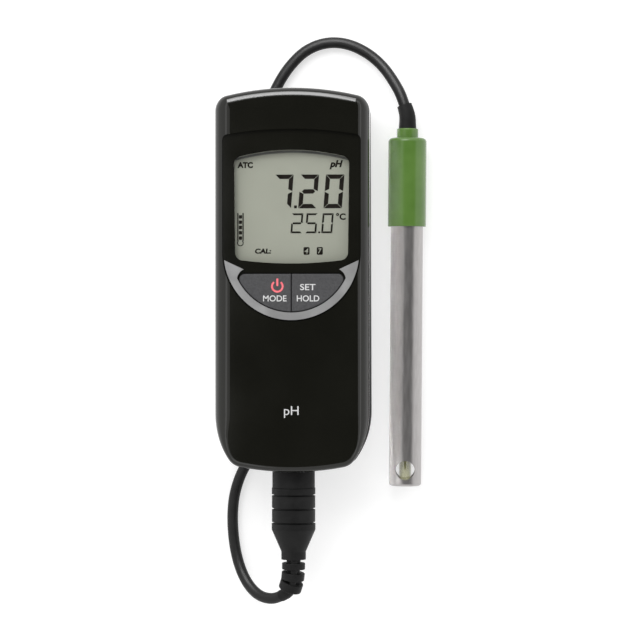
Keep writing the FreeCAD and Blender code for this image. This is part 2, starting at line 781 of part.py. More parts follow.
def socket():
    """The panel socket, its contacts, lock nut and seal."""
    shell, bore = 7.5, size("plug_shell_outer") + 0.1
    core = size("plug_shell_outer") - 0.6 - 0.1
    depth = 10.5
    profile = [(bore, 0), (shell, 0), (shell, 3.0), (9.4, 3.0), (9.4, 4.4), (shell, 4.4), (shell, 15.0),
               (bore, 15.0)]
    turned("socket_shell", profile, meter_base(SOCKET_FACE), ALONG_Y)
    body = new_body("socket_insulator")
    base = circle(new_sketch(body, level=depth), 0, 0, bore)
    pad(body, base, 2.0)
    post = circle(new_sketch(body, level=0.8), 0, 0, core)
    pad(body, post, depth - 0.8 + 0.1)
    holes = new_sketch(body)
    for angle in PIN_ANGLES:
        circle(holes, *on_circle(angle), 1.1)
    pocket(body, holes, 20.0, upwards=True)
    place(body, *meter_base(SOCKET_FACE), ALONG_Y)
    tubes = []
    for angle in PIN_ANGLES:
        across, up = on_circle(angle)
        outer = rod(1.1, 14.0, across, SOCKET_FACE + 1.4, 0 - up, ALONG_Y)
        inner = rod(size("pin_radius") + 0.06, 11.0, across, SOCKET_FACE + 1.0, 0 - up, ALONG_Y)
        tubes.append(cut(outer, inner))
    group("socket_contacts", tubes)
    nut = document.addObject("Part::Prism", "nut_blank")
    nut.Polygon = 6
    bind(nut, Circumradius=10.2, Height=2.4)
    place(nut, *meter_base(SOCKET_FACE + 4.6), ALONG_Y)
    cut(nut, rod(7.55, 6.0, 0, SOCKET_FACE + 3.0, 0, ALONG_Y), "socket_nut")
    turned("socket_seal", [(7.55, 0), (8.5, 0), (8.5, 1.0), (7.55, 1.0)], meter_base(SOCKET_FACE + 2.0), ALONG_Y)


def grip_profile():
    """The plug's handle from its face: collar, three broad rings, a narrow one, cone and neck."""
    rings = [(0, 8.65, 6.6), (6.75, 8.85, 2.5), (9.95, 8.8, 4.8), (15.55, 8.8, 4.9), (21.2, 8.9, 2.45)]
    groove, neck = 8.0, 5.0
    points = [(0, 0)]
    for i, (start, radius, length) in enumerate(rings):
        points += [(radius, start), (radius, start + length)]
        if i < len(rings) - 1:
            points += [(groove, start + length), (groove, rings[i + 1][0])]
    points += [(neck, 32.6), (neck, PLUG_LENGTH), (0, PLUG_LENGTH)]
    return points


def plug():
    """The lead's plug: rubber handle, metal shell, insulator and pins."""
    reach = size("plug_reach")
    outer = size("plug_shell_outer")
    turned("plug_grip", grip_profile(), meter_base(PLUG_FACE), AGAINST_Y)
    turned("plug_shell", [(outer - 0.6, 0), (outer, 0), (outer, reach), (outer - 0.6, reach)],
           meter_base(PLUG_FACE), ALONG_Y)
    body = new_body("plug_insulator")
    disc = circle(new_sketch(body), 0, 0, outer - 0.6)
    for angle in PIN_ANGLES:
        circle(disc, *on_circle(angle), size("pin_radius"))
    pad(body, disc, 1.6)
    place(body, *meter_base(PLUG_FACE), ALONG_Y)
    pins = []
    for angle in PIN_ANGLES:
        across, up = on_circle(angle)
        pins.append(rod(size("pin_radius"), reach - 0.4, across, PLUG_FACE, 0 - up, ALONG_Y))
    group("plug_pins", pins)


# ---------------------------------------------------------------- lead


def cord_wire(points):
    """Straight runs joined by tangent arcs, each as large as its two runs allow."""
    edges, radii = [], []
    last = points[0]
    for before, corner, after in zip(points, points[1:], points[2:]):
        back, ahead = (before - corner), (after - corner)
        turn = math.pi - back.getAngle(ahead)
        reach = 0.45 * min(back.Length, ahead.Length)
        radii.append(reach / math.tan(turn / 2))
        start = corner + back.normalize() * reach
        end = corner + ahead.normalize() * reach
        inward = (back + ahead).normalize()
        nearest = radii[-1] * (1 / math.cos(turn / 2) - 1)
        edges.append(Part.LineSegment(last, start).toShape())
        edges.append(Part.Arc(start, corner + inward * nearest, end).toShape())
        last = end
    edges.append(Part.LineSegment(last, points[-1]).toShape())
    return Part.Wire(edges), radii


def sweep(wire, radius, last_radius=None):
    """A round section carried along a wire, narrowing evenly if the last radius differs."""
    first, last = wire.Edges[0], wire.Edges[-1]
    rings = [Part.Circle(first.valueAt(first.FirstParameter), first.tangentAt(first.FirstParameter), radius)]
    if last_radius:
        end = last.LastParameter
        rings.append(Part.Circle(last.valueAt(end), last.tangentAt(end), last_radius))
    return wire.makePipeShell([Part.Wire([ring.toShape()]) for ring in rings], True, False)


def case_points(route):
    """Route points given from the case's centre, with heights above the table."""
    x, y = number(size("meter_x")), number(size("meter_y"))
    return [Vector(x + a, y + b, c) for a, b, c in route]


def solid(label, shape):
    """A sub-part whose shape neither sketches nor primitives suit."""
    thing = document.addObject("Part::Feature", label)
    thing.Shape = shape
    return keep(thing, label)


LIE = 2.3  # height of the lead's centre where it lies on the table


def lead():
    """The lead, from the electrode round the display end, folded under the case, and to the plug."""
    radius = number(size("lead_dia")) / 2
    origin = Vector(number(size("meter_x")), number(size("meter_y")), 0)
    foot, bend = probe_point(number(size("cap_length") + size("neck_length"))), probe_point(45.4)
    boot_end = bend + Vector(-1.3, 4.4, -0.5)
    straight_out = boot_end + Vector(-1.4, 4.7, -0.6)
    boot_wire, _ = cord_wire([foot, bend, boot_end])
    solid("cable_boot", sweep(boot_wire, 3.6, 3.05))
    over_top = [
        tuple(boot_end - origin), tuple(straight_out - origin), (40.7, 81.6, 5.9), (37.3, 86.9, 3.9),
        (33.2, 91.4, 2.6), (28.3, 95.0, LIE), (22.3, 97.8, LIE), (15.6, 98.9, LIE), (9.0, 97.8, LIE),
        (3.3, 94.9, LIE), (-1.4, 90.4, LIE), (-5.5, 85.0, LIE), (-9.0, 78.4, LIE), (-12.3, 70.6, LIE),
        (-15.5, 62.8, LIE), (-18.5, 55.2, LIE), (-21.2, 47.6, LIE),
    ]
    neck_end = number(PLUG_FACE - PLUG_LENGTH)
    soft_end = [
        (0, neck_end, number(PARTING)), (0, -117.2, number(PARTING)), (-0.3, -121.1, 18.9), (-1.1, -124.8, 18.1),
        (-2.6, -127.2, 16.9), (-5.3, -128.7, 15.4),
    ]
    last, end = Vector(*soft_end[-2]), Vector(*soft_end[-1])
    straight_on = end + (end - last).normalize() * 2.6
    loop = [
        tuple(end), tuple(straight_on), (-10.4, -130.2, 12.7), (-13.9, -129.6, 10.6), (-17.2, -127.6, 8.3),
        (-20.3, -124.1, 6.0), (-23.0, -118.9, 4.0), (-25.0, -112.2, 2.7), (-26.1, -104.7, LIE), (-26.4, -97.3, LIE),
        (-25.9, -90.3, LIE), (-24.4, -83.9, LIE), (-21.9, -77.8, LIE), (-18.4, -72.3, LIE), (-13.2, -67.0, LIE),
        (-6.4, -62.5, LIE), (1.3, -58.4, LIE), (9.2, -54.4, LIE),
    ]
    for label, route in (("cable_top", over_top), ("cable_loop", loop)):
        wire, radii = cord_wire(case_points(route))
        tube = sweep(wire, radius)
        section = math.pi * radius**2
        print(label, "length %.1f" % wire.Length, "volume / section x length %.4f" % (
            tube.Volume / (section * wire.Length)), "radii", " ".join("%.0f" % r for r in radii))
        solid(label, tube)
    relief(case_points(soft_end))


def relief(points):
    """Three soft rings joined by a rib above and below, on a bent core, where the lead leaves the plug."""
    wire, _ = cord_wire(points)
    shape = sweep(wire, 2.9, 2.4)
    for reach, length in ((1.4, 2.7), (5.3, 3.1), (9.2, 3.6)):
        start, heading = along(wire, reach)
        end, _ = along(wire, reach + length)
        heading = (end - start).normalize()
        ring = Part.makeCylinder(4.7, length, start, heading)
        shape = shape.fuse(ring.makeFillet(0.35, ring.Edges))
    for up in (-1, 1):
        rib_points = [point + Vector(0.35, 0, up * 2.9) for point in points[:-2]]
        rib, _ = cord_wire(rib_points)
        shape = shape.fuse(sweep(rib, 1.35))
    solid("strain_relief", shape.removeSplitter())


def along(wire, reach):
    """The point and heading this far along the wire."""
    left = reach
    for edge in wire.Edges:
        if left <= edge.Length:
            parameter = edge.getParameterByLength(left)
            return edge.valueAt(parameter), edge.tangentAt(parameter)
        left -= edge.Length
    return wire.Vertexes[-1].Point, wire.Edges[-1].tangentAt(wire.Edges[-1].LastParameter)


def folded_lead():
    """The outer shape of the lead's folded length, and the two straps that hold its runs together."""
    thick = size("lead_dia")
    half_wide = size("fold_bend") * 2 + size("fold_pitch") * 2 + thick / 2
    low, slack = 0.05, 0.1
    body = new_body("cable_fold")
    base = new_sketch(body, level=low)
    pad(body, rectangle(base, 0 - half_wide, 0 - size("fold_half"), half_wide, size("fold_half")), thick)
    soften(body, size("fold_round"), upright)
    for level in (low, low + thick):
        soften(body, 1.8, at_level(level))
    inner = size("fold_bend") * 2 - thick / 2
    band = size("strap_thick")
    half_strap = size("strap_half")
    straps = []
    for side in (-1, 1):

        def span(near, far):
            return sorted((side * near, side * far), key=number)

        left, right = span(inner - band - slack, half_wide + band)
        groove = rectangle(new_sketch(body), left, 0 - half_strap - slack, right, half_strap + slack)
        pocket(body, groove, band, upwards=True)
        left, right = span(inner - band - low, inner + low)
        slot = rectangle(new_sketch(body), left, 0 - half_strap - slack, right, half_strap + slack)
        pocket(body, slot, thick + 1, upwards=True)
        strap = new_part_body("strap")
        left, right = span(inner - band, half_wide + band + slack)
        section = new_sketch(strap, "XZ_Plane", 0 - half_strap)
        rectangle(section, left, 0, right, thick + band + slack)
        rectangle(section, left + band, band, right - band, thick + slack)
        pad(strap, section, half_strap * 2)
        place(strap, size("meter_x"), size("meter_y"), 0)
        straps.append(strap)
    place(body, size("meter_x"), size("meter_y"), 0)
    group("cable_straps", straps)


# ---------------------------------------------------------------- electrode


def probe_heading():
    tilt, skew = (math.radians(number(size(name))) for name in ("probe_tilt", "probe_skew"))
    return Vector(math.cos(tilt) * math.sin(skew), math.cos(tilt) * math.cos(skew), math.sin(tilt))


def probe_point(height):
    """A point on the electrode's axis, this far above the cap's lower edge."""
    foot = Vector(number(size("probe_x")), number(size("probe_y")), number(size("cap_radius")))
    return foot + probe_heading() * height


PROBE_BASE = (size("probe_x"), size("probe_y"), size("cap_radius"))
PROBE_TURN = FreeCAD.Rotation(Vector(0, 0, 1), probe_heading())


def probe_turned(label, profile):
    return turned(label, profile, PROBE_BASE, PROBE_TURN)


def ring_at(height, radius):
    """Chooses the round edge of one radius at one height of a turned body."""

    def chooser(edge):
        curve = edge.Curve
        return (
            isinstance(curve, Part.Circle)
            and abs(curve.Radius - number(radius)) < 1e-3
            and abs(curve.Center.z - number(height)) < 1e-3
        )

    return chooser


def electrode():
    """The electrode: cap, boot, metal tube with a cross hole, and the glass inside it."""
    cap, tube, bore = size("cap_radius"), size("tube_radius"), size("tube_bore")
    spigot = size("tube_seat")
    top = size("cap_length")
    neck_top = top + size("neck_length")
    seat, groove_low, groove_high, groove_deep = 9.0, 3.0, 4.4, 0.6
    body = probe_turned("probe_cap", [
        (spigot, 0), (cap, 0), (cap, top), (size("neck_radius"), top), (size("neck_radius"), neck_top),
        (0, neck_top), (0, top - 4.0), (bore, top - 4.0), (bore, seat), (spigot, seat), (spigot, groove_high),
        (spigot + groove_deep, groove_high), (spigot + groove_deep, groove_low), (spigot, groove_low),
    ])
    soften(body, 1.6, ring_at(top, cap))
    soften(body, 0.5, ring_at(neck_top, size("neck_radius")))
    soften(body, 0.3, ring_at(0, cap))
    low, high, out = groove_low + 0.05, groove_high - 0.05, spigot + groove_deep - 0.02
    probe_turned("cap_seal", [(spigot, low), (out, low), (out, high), (spigot, high)])
    tip = 0 - size("tube_length")
    body = probe_turned("probe_tube", [
        (spigot, seat - 0.05), (bore, seat - 0.05), (bore, tip + 1.2), (bore - 0.7, tip + 1.2),
        (bore - 0.7, tip), (tube, tip), (tube, 0), (spigot, 0),
    ])
    soften(body, 1.0, ring_at(tip, tube))
    for upwards in (True, False):
        port = circle(new_sketch(body, "XZ_Plane"), 0, tip + size("port_from_tip"), size("port_radius"))
        pocket(body, port, 12.0, upwards)
    stem = size("stem_radius")
    core_end, stem_top, bulb_end = -92.0, -60.0, -104.0
    body = probe_turned("probe_core", [
        (0, seat - 0.5), (bore - 0.05, seat - 0.5), (bore - 0.05, core_end), (stem, core_end), (stem, stem_top),
        (0, stem_top),
    ])
    sensor = circle(new_sketch(body, level=core_end), 4.1, 0, 1.1)
    pocket(body, sensor, 12.0, upwards=True)
    junction = circle(new_sketch(body, level=core_end), -4.1, 0, 1.1)
    pocket(body, junction, 4.0, upwards=True)
    body = probe_turned("glass_stem", [
        (stem, stem_top - 0.02), (stem, bulb_end), (0, bulb_end), (0, bulb_end + 0.6), (stem - 0.55, bulb_end + 0.6),
        (stem - 0.55, stem_top - 0.02),
    ])
    soften(body, 2.2, ring_at(bulb_end, stem))
    for label, across, low, high, radius in (
        ("reference_wire", 0, -99.5, stem_top - 0.05, 0.4),
        ("temperature_sensor", 4.1, -94.6, -80.1, 1.05),
        ("reference_junction", -4.1, -92.5, -88.1, 1.05),
    ):
        body = new_body(label)
        pad(body, circle(new_sketch(body, level=low), across, 0, radius), high - low)
        place(body, *PROBE_BASE, PROBE_TURN)
    body = new_body("probe_board")
    pad(body, rectangle(new_sketch(body, level=10.5), -4.5, -0.6, 4.5, 0.6), 20.0)
    place(body, *PROBE_BASE, PROBE_TURN)


# ---------------------------------------------------------------- build, check and write


def check_all():
    """Stop if any object failed or any sub-part isn't a valid shape."""
    document.recompute()
    for thing in document.Objects:
        if {"Invalid", "Error"} & set(thing.State):
            raise RuntimeError("%s (%s) failed: %s" % (thing.Label, thing.Name, thing.State))
    for node in NODES:
        if node.Shape.isNull() or not node.Shape.isValid() or node.Shape.Volume <= 0:
            raise RuntimeError("%s has no valid shape" % node.Label)


def write_all():
    os.makedirs("parts", exist_ok=True)
    for node in NODES:
        node.Shape.exportStep("parts/%s.step" % node.Label)
    print(len(NODES), "sub-parts")


for make in (front_case, rear_case, case_gasket, screws, display, board, key_trim, batteries, socket, plug,
             folded_lead, electrode, lead):
    make()
key("mode_key", -1)
key("set_hold_key", 1)
check_all()
write_all()
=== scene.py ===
"""A hand-held pH meter on its back, its electrode beside it and its lead looped round both ends."""
import bpy
import bmesh
import math
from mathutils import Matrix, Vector


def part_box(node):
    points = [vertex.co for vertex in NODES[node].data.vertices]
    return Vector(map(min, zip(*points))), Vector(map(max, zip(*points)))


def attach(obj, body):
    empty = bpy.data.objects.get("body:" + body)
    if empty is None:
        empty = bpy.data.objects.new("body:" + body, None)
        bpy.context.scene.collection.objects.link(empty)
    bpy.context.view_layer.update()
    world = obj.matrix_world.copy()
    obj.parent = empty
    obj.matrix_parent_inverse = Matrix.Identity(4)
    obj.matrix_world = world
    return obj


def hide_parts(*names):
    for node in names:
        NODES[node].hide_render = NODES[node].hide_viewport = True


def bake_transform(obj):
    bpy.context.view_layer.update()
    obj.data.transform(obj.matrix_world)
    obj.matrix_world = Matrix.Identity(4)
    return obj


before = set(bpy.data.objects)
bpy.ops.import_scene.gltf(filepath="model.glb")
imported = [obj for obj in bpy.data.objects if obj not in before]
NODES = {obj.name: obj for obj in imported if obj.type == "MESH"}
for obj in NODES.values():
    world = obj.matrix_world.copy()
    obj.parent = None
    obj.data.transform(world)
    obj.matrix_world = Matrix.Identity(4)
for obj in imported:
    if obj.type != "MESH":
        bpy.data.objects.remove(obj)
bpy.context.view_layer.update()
MM = 0.001

case_low, case_high = (Vector(corner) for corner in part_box("front_case"))
CASE_X = (case_low.x + case_high.x) / 2
CASE_Y = (case_low.y + case_high.y) / 2
FACE = case_high.z / MM


def case(x, y, z):
    """A point given in millimetres from the case's centre, with its height above the table."""
    return Vector((CASE_X + x * MM, CASE_Y + y * MM, z * MM))


# ---------------------------------------------------------------- camera

EYE = (54.0, -16.1, 924.6)  # millimetres from the case's centre, and above the table
AIM_X = 9.82  # where the view's middle meets the table
VIEW_WIDTH = 258.4  # width of the view, in millimetres, at VIEW_DISTANCE
VIEW_DISTANCE = 901
SENSOR = 36

camera_data = bpy.data.cameras.new("camera")
camera = bpy.data.objects.new("camera", camera_data)
bpy.context.scene.collection.objects.link(camera)
camera.location = case(*EYE)
camera.rotation_euler = (0, math.atan2(EYE[0] - AIM_X, EYE[2]), 0)
camera_data.sensor_width = SENSOR
camera_data.lens = SENSOR * VIEW_DISTANCE / VIEW_WIDTH
camera_data.clip_end = 20
bpy.context.scene.camera = camera

# ---------------------------------------------------------------- materials


def new_material(name):
    """An empty node material and its shader."""
    material = bpy.data.materials.new(name)
    material.use_nodes = True
    return material, material.node_tree.nodes["Principled BSDF"]


def noise(tree, size_mm, detail=3.0, stretch=(1, 1, 1)):
    """A noise pattern whose features are about this many millimetres, times the stretch along each axis."""
    where = tree.nodes.new("ShaderNodeTexCoord")
    mapping = tree.nodes.new("ShaderNodeMapping")
    mapping.inputs["Scale"].default_value = [1 / (size_mm * MM * s) for s in stretch]
    pattern = tree.nodes.new("ShaderNodeTexNoise")
    pattern.inputs["Scale"].default_value = 1.0
    pattern.inputs["Detail"].default_value = detail
    pattern.inputs["Roughness"].default_value = 0.55
    tree.links.new(where.outputs["Object"], mapping.inputs["Vector"])
    tree.links.new(mapping.outputs["Vector"], pattern.inputs["Vector"])
    return pattern.outputs["Fac"]


def spread(tree, source, low, high, start=0.3, end=0.7):
    """A number from low to high, following a pattern."""
    remap = tree.nodes.new("ShaderNodeMapRange")
    remap.inputs["From Min"].default_value = start
    remap.inputs["From Max"].default_value = end
    remap.inputs["To Min"].default_value = low
    remap.inputs["To Max"].default_value = high
    tree.links.new(source, remap.inputs["Value"])
    return remap.outputs["Result"]


def blend_colours(tree, source, first, second, start=0.35, end=0.65):
    """A colour from first to second, following a pattern."""
    ramp = tree.nodes.new("ShaderNodeValToRGB")
    ramp.color_ramp.elements[0].position = start
    ramp.color_ramp.elements[0].color = (*first, 1)
    ramp.color_ramp.elements[1].position = end
    ramp.color_ramp.elements[1].color = (*second, 1)
    tree.links.new(source, ramp.inputs["Fac"])
    return ramp.outputs["Color"]


def bump(tree, shader, source, height_mm):
    """A fine relief of this height, following a pattern."""
    node = tree.nodes.new("ShaderNodeBump")
    node.inputs["Strength"].default_value = 1.0
    node.inputs["Distance"].default_value = height_mm * MM
    tree.links.new(source, node.inputs["Height"])
    tree.links.new(node.outputs["Normal"], shader.inputs["Normal"])


def surface(
    name, colours, mottle_mm, roughness, bump_mm, grain_mm, metallic=0.0, stretch=(1, 1, 1), **sockets
):
    """A surface with mottled colour and roughness and a fine relief; sockets are the shader's even values."""
    material, shader = new_material(name)
    tree = material.node_tree
    mottle = noise(tree, mottle_mm, stretch=stretch)
    grain = noise(tree, grain_mm, detail=2.0, stretch=stretch)
    tree.links.new(blend_colours(tree, mottle, *colours), shader.inputs["Base Color"])
    tree.links.new(spread(tree, mottle, *roughness), shader.inputs["Roughness"])
    shader.inputs["Metallic"].default_value = metallic
    for socket, value in sockets.items():
        shader.inputs[socket.replace("_", " ")].default_value = value
    bump(tree, shader, grain, bump_mm)
    return material


def grey(value):
    return (value, value, value)


GLOSS_BLACK = surface(
    "gloss_black", ((0.0052, 0.0052, 0.0036), (0.0068, 0.0068, 0.0048)), 30, (0.05, 0.09), 0.001, 1.6,
    Specular_IOR_Level=0.42,
)
MATT_BLACK = surface("matt_black", (grey(0.014), grey(0.022)), 12, (0.38, 0.5), 0.02, 0.35)
SEAL = surface("seal_rubber", ((0.06, 0.01, 0.01), (0.10, 0.015, 0.015)), 5, (0.5, 0.7), 0.01, 0.4)
STEEL = surface("plain_steel", (grey(0.5), grey(0.6)), 4, (0.25, 0.4), 0.004, 0.3, metallic=1.0)
KEY_RUBBER = surface(
    "key_rubber", ((0.046, 0.046, 0.048), (0.066, 0.066, 0.069)), 0.7, (0.55, 0.75), 0.035, 0.28,
    Specular_IOR_Level=0.3,
)
TRIM = surface("satin_silver", (grey(0.35), grey(0.40)), 8, (0.28, 0.36), 0.006, 0.25, metallic=0.5)
PLUG_RUBBER = surface(
    "plug_rubber", (grey(0.007), grey(0.012)), 6, (0.42, 0.6), 0.02, 0.3, Specular_IOR_Level=0.14
)
LEAD = surface(
    "lead_jacket", (grey(0.010), grey(0.015)), 9, (0.38, 0.48), 0.012, 0.35, Specular_IOR_Level=0.2
)
STRAP = surface("strap", (grey(0.01), grey(0.02)), 3, (0.4, 0.6), 0.02, 0.5)
GREEN = surface(
    "green_cap", ((0.074, 0.158, 0.027), (0.092, 0.184, 0.035)), 14, (0.18, 0.26), 0.006, 1.2, Coat_Weight=0.2
)
TITANIUM = surface(
    "satin_titanium", ((0.38, 0.365, 0.36), (0.43, 0.415, 0.41)), 1.1, (0.28, 0.34), 0.001, 0.9,
    metallic=1.0, stretch=(1, 6, 1),
)
HOLDER = surface("inner_plastic", (grey(0.05), grey(0.08)), 5, (0.4, 0.6), 0.01, 0.5)
BOARD = surface("board_laminate", ((0.01, 0.07, 0.02), (0.02, 0.11, 0.03)), 3, (0.3, 0.4), 0.01, 0.8)
PARTS = surface("board_parts_black", (grey(0.015), grey(0.03)), 2, (0.4, 0.6), 0.01, 0.4)
PLATED = surface(
    "plated_contacts", ((0.75, 0.62, 0.35), (0.8, 0.7, 0.45)), 3, (0.2, 0.3), 0.003, 0.3, metallic=1.0
)
NICKEL = surface("nickel", (grey(0.62), grey(0.7)), 5, (0.15, 0.25), 0.003, 0.4, metallic=1.0)
CELL = surface("cell_sleeve", ((0.02, 0.03, 0.08), (0.03, 0.05, 0.12)), 5, (0.2, 0.3), 0.003, 0.8)
SILVER_WIRE = surface("dark_wire", (grey(0.03), grey(0.06)), 2, (0.4, 0.5), 0.003, 0.3, metallic=0.6)
CERAMIC = surface("ceramic", (grey(0.6), grey(0.7)), 1, (0.6, 0.8), 0.02, 0.2)
SCREEN = surface(
    "display_grey", ((0.400, 0.413, 0.345), (0.418, 0.432, 0.362)), 18, (0.35, 0.42), 0.002, 0.5,
    Specular_IOR_Level=0.1,
)
SEGMENT = surface(
    "display_dark", ((0.010, 0.008, 0.006), (0.016, 0.013, 0.010)), 3, (0.4, 0.5), 0.001, 0.5,
    Specular_IOR_Level=0.05,
)
# Painted shade: a grey colour standing for the shadow that the window's arched edge casts on the display
SHADE = surface(
    "display_painted_shade", ((0.150, 0.155, 0.145), (0.185, 0.190, 0.175)), 6, (0.3, 0.4), 0.001, 0.5,
    Specular_IOR_Level=0.1,
)
WHITE_INK = surface("white_ink", (grey(0.54), grey(0.62)), 2, (0.45, 0.6), 0.004, 0.2)
RED_INK = surface("red_ink", ((0.80, 0.13, 0.16), (0.88, 0.17, 0.20)), 2, (0.45, 0.6), 0.004, 0.2)


def clear(name, colour, alpha, roughness):
    """A thin clear sheet: mostly see-through, with a gloss of its own."""
    material, shader = new_material(name)
    tree = material.node_tree
    haze = noise(tree, 6.0)
    tree.links.new(spread(tree, haze, *roughness), shader.inputs["Roughness"])
    tree.links.new(blend_colours(tree, haze, colour, [c * 0.96 for c in colour]), shader.inputs["Base Color"])
    shader.inputs["Alpha"].default_value = alpha
    shader.inputs["IOR"].default_value = 1.5
    return material


PANE = clear("clear_pane", (0.02, 0.02, 0.02), 0.08, (0.04, 0.07))
GLASS = clear("electrode_glass", (0.62, 0.62, 0.30), 0.30, (0.03, 0.06))

FINISHES = {
    "front_case": GLOSS_BLACK, "rear_case": MATT_BLACK, "case_gasket": SEAL, "case_screws": STEEL,
    "display_window": PANE, "display_cell": SCREEN, "display_holder": HOLDER, "display_connectors": HOLDER,
    "circuit_board": BOARD, "board_parts": PARTS, "board_screws": STEEL, "key_domes": PLATED,
    "key_trim": TRIM, "mode_key": KEY_RUBBER, "set_hold_key": KEY_RUBBER,
    "battery_tray": HOLDER, "battery_1": CELL, "battery_2": CELL, "battery_3": CELL,
    "battery_contacts": PLATED,
    "socket_shell": NICKEL, "socket_insulator": HOLDER, "socket_contacts": PLATED, "socket_nut": STEEL,
    "socket_seal": SEAL,
    "plug_grip": PLUG_RUBBER, "plug_shell": NICKEL, "plug_insulator": HOLDER, "plug_pins": PLATED,
    "strain_relief": PLUG_RUBBER, "cable_straps": STRAP, "cable_boot": PLUG_RUBBER,
    "probe_cap": GREEN, "cap_seal": SEAL, "probe_board": BOARD, "probe_tube": TITANIUM, "probe_core": HOLDER,
    "glass_stem": GLASS, "reference_wire": SILVER_WIRE, "temperature_sensor": STEEL,
    "reference_junction": CERAMIC,
}


def paint(piece, material):
    """Give a piece this one material."""
    piece.data.materials.clear()
    piece.data.materials.append(material)


for node, material in FINISHES.items():
    paint(NODES[node], material)

# ---------------------------------------------------------------- lead

# All in millimetres, and places are from the case's centre.
LEAD_DIAMETER = 4.5
LIE = 2.3  # height of the lead's middle where it lies on the table
RUN = 26.0  # half length of the fold's straight runs
PITCH = 4.6  # from turn to turn
BEND = 9.5  # radius of the S in the fold's middle
WIDER = 1.012  # a turn's control points lie on a circle this much larger


def turn(centre_x, centre_y, radius, start, end, steps):
    """Points of a turn between its ends, on a circle a little wide of the curve they control."""
    wide = radius * WIDER
    points = []
    for i in range(1, steps):
        angle = math.radians(start + (end - start) * i / steps)
        points.append((centre_x + wide * math.cos(angle), centre_y + wide * math.sin(angle), LIE))
    return points


def run(x, start, end):
    """A straight stretch of the folded lead: points at its ends and between them."""
    return [(x, start + (end - start) * share, LIE) for share in (0, 0.33, 0.67, 1)]


def folded_route():
    """The lead's folded length, in one layer: in on the left, round to an S in the middle, and out again."""
    inner = 2 * BEND
    second, outer = inner + PITCH, inner + 2 * PITCH
    narrow, wide = inner + PITCH / 2, inner + 1.5 * PITCH
    shift = PITCH / 2
    route = run(-outer, RUN, -RUN)
    route += turn(-shift, -RUN, wide, 180, 360, 9) + run(second, -RUN, RUN)
    route += turn(shift, RUN, narrow, 0, 180, 8) + run(-inner, RUN, -RUN)
    route += turn(-BEND, -RUN, BEND, 180, 360, 6) + run(0, -RUN, RUN)
    route += turn(BEND, RUN, BEND, 180, 0, 6) + run(inner, RUN, -RUN)
    route += turn(-shift, -RUN, narrow, 0, -180, 8) + run(-second, -RUN, RUN)
    route += turn(shift, RUN, wide, 180, 0, 9) + run(outer, RUN, -RUN)
    return route


OVER_TOP = [
    (45.04, 71.55, 7.91), (43.64, 76.25, 7.31), (40.7, 81.6, 5.9), (37.3, 86.9, 3.9), (33.2, 91.4, 2.6),
    (28.3, 95.0, LIE), (22.3, 97.8, LIE), (15.6, 98.9, LIE), (9.0, 97.8, LIE), (3.3, 94.9, LIE),
    (-1.4, 90.4, LIE), (-5.5, 85.0, LIE), (-9.0, 78.4, LIE), (-12.3, 70.6, LIE), (-15.5, 62.8, LIE),
    (-18.5, 55.2, LIE), (-21.2, 47.6, LIE), (-24.3, 42.2, LIE), (-26.8, 36.0, LIE),
]
LOOP = [
    (24.3, -41.3, LIE), (19.5, -47.6, LIE), (13.9, -52.0, LIE), (9.2, -54.4, LIE), (1.3, -58.4, LIE),
    (-6.4, -62.5, LIE), (-13.2, -67.0, LIE), (-18.4, -72.3, LIE), (-21.9, -77.8, LIE), (-24.4, -83.9, LIE),
    (-25.9, -90.3, LIE), (-26.4, -97.3, LIE), (-26.1, -104.7, LIE), (-25.0, -112.2, 2.7),
    (-23.0, -118.9, 4.0), (-20.3, -124.1, 6.0), (-17.2, -127.6, 8.3), (-13.9, -129.6, 10.6),
    (-10.4, -130.2, 12.7), (-7.5, -129.8, 14.1), (-5.3, -128.7, 15.4),
]


def smooth_curve(name, points, radius_mm=0.0):
    """The mesh of a NURBS curve with these control points: a bare line, or a round tube of this radius."""
    data = bpy.data.curves.new(name, "CURVE")
    data.dimensions = "3D"
    spline = data.splines.new("NURBS")
    spline.points.add(len(points) - 1)
    for control, point in zip(spline.points, points):
        control.co = (*case(*point), 1)
    spline.order_u = 3
    spline.use_endpoint_u = True
    data.resolution_u = 6
    data.bevel_depth = radius_mm * MM
    data.bevel_resolution = 7
    data.use_fill_caps = True
    curve = bpy.data.objects.new(name, data)
    bpy.context.scene.collection.objects.link(curve)
    bpy.context.view_layer.update()
    mesh = bpy.data.meshes.new_from_object(curve)
    bpy.data.objects.remove(curve)
    return mesh


def add_mesh(name, mesh, material):
    """A new piece with this mesh and material."""
    piece = bpy.data.objects.new(name, mesh)
    bpy.context.scene.collection.objects.link(piece)
    paint(piece, material)
    return piece


def make_lead():
    """The lead from the electrode's boot, folded under the case, and round to the plug."""
    route = OVER_TOP + folded_route() + LOOP
    path = [tuple(v.co) for v in smooth_curve("lead_line", route).vertices]
    lead = add_mesh("lead", smooth_curve("lead", route, LEAD_DIAMETER / 2), LEAD)
    lead.data.shade_smooth()
    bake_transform(lead)
    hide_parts("cable_top", "cable_fold", "cable_loop")


make_lead()

# ---------------------------------------------------------------- print and display content


def flat(name, loops, height, material, body, slot):
    """Flat inked shapes: closed loops of points in millimetres, at one height."""
    shapes = bmesh.new()
    for loop in loops:
        shapes.faces.new([shapes.verts.new(case(x, y, height)) for x, y in loop])
    bmesh.ops.recalc_face_normals(shapes, faces=shapes.faces)
    for face in shapes.faces:
        if face.normal.z < 0:
            face.normal_flip()
    mesh = bpy.data.meshes.new(name)
    shapes.to_mesh(mesh)
    shapes.free()
    piece = add_mesh(name, mesh, material)
    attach(piece, body)


